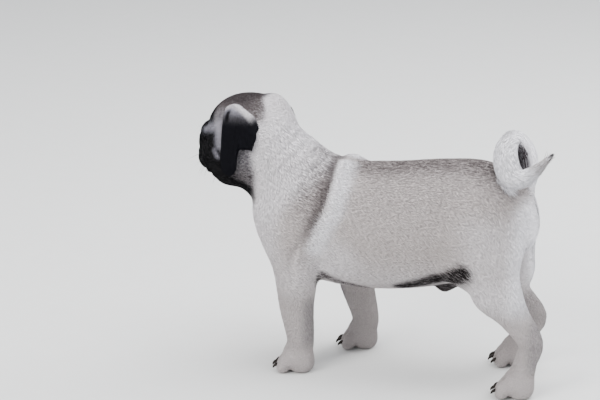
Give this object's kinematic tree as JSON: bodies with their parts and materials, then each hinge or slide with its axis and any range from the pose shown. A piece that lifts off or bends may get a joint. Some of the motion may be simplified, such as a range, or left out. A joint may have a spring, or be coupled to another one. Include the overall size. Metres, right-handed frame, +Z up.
{
  "type": "standing pug model",
  "caption": "Life-size still model of a short-coated flat-faced small dog standing square, head turned aside, button ears and a tight curled tail over the croup.",
  "frame": {"origin": "on the floor under the middle of the bounding box", "axes": "+Z up, the dog faces -X, its left side is -Y"},
  "size_m": [0.451, 0.161, 0.3298],
  "materials": {
    "fawn_coat": "short flat fur, fawn peppered with dark hairs",
    "pale_coat": "short fur, cream to white",
    "black_mask": "very short black fur",
    "nose_leather": "moist black nose leather",
    "eye_brown": "wet dark brown eye"
  },
  "bodies": {
    "root": {"torso": "fawn_coat", "neck": "pale_coat", "head": "black_mask", "nose": "nose_leather", "eye_left": "eye_brown", "eye_right": "eye_brown", "ear_left": "black_mask", "ear_right": "black_mask", "tail_root": "pale_coat", "tail_curl": "pale_coat", "tail_tip": "pale_coat", "foreleg_left": "fawn_coat", "foreleg_right": "fawn_coat", "forepaw_left": "fawn_coat", "forepaw_right": "fawn_coat", "thigh_left": "fawn_coat", "thigh_right": "fawn_coat", "hindleg_left": "fawn_coat", "hindleg_right": "fawn_coat", "hindpaw_left": "fawn_coat", "hindpaw_right": "fawn_coat"}
  },
  "joints": []
}
